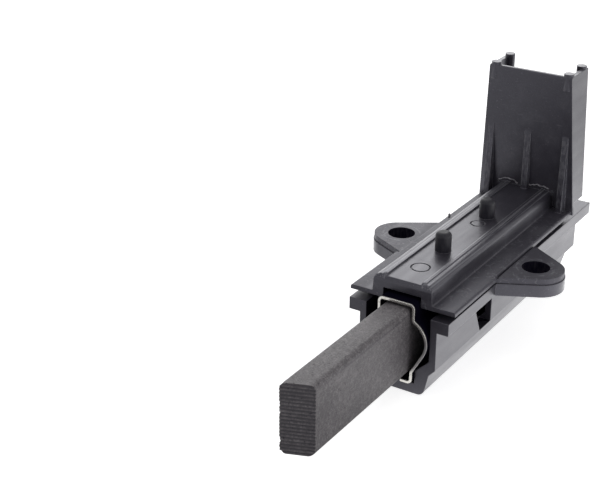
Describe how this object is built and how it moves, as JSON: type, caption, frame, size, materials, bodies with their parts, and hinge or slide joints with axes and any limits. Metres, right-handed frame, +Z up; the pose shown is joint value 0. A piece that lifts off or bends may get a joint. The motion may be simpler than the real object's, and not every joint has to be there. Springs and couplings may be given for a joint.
{
  "type": "motor carbon brush in holder",
  "caption": "Spring-loaded carbon brush block sliding in a moulded two-part holder with screw ears, locating pins and a shrouded blade terminal.",
  "frame": {"origin": "on the keel's flat underside, straight below the middle of the line through the two screw holes", "axes": "+Y along the brush from the carbon's tip to the connector, +X to the right seen along +Y, +Z up from the keel towards the locating pins"},
  "size_m": [0.0374, 0.0933, 0.0441],
  "materials": {
    "holder_plastic": "satin moulded black polyester",
    "carbon": "ground electrographite",
    "guide_plating": "tin-plated brass sheet",
    "terminal_plating": "tin-plated brass blade",
    "spring_steel": "drawn stainless wire",
    "lead_copper": "bare stranded copper"
  },
  "bodies": {
    "holder": {"holder_base": "holder_plastic", "holder_cover": "holder_plastic", "guide_sleeve": "guide_plating", "terminal_tab": "terminal_plating", "pressure_spring": "spring_steel", "shunt_lead": "lead_copper"},
    "carbon": {"carbon_block": "carbon"}
  },
  "joints": [
    {"name": "carbon_slide", "type": "slide", "parent": "holder", "child": "carbon", "axis": [0, 1, 0], "range_m": [0, 0.03], "stiffness_N_per_m": 80, "springref_m": -0.02, "deforming": ["pressure_spring", "shunt_lead"]}
  ]
}
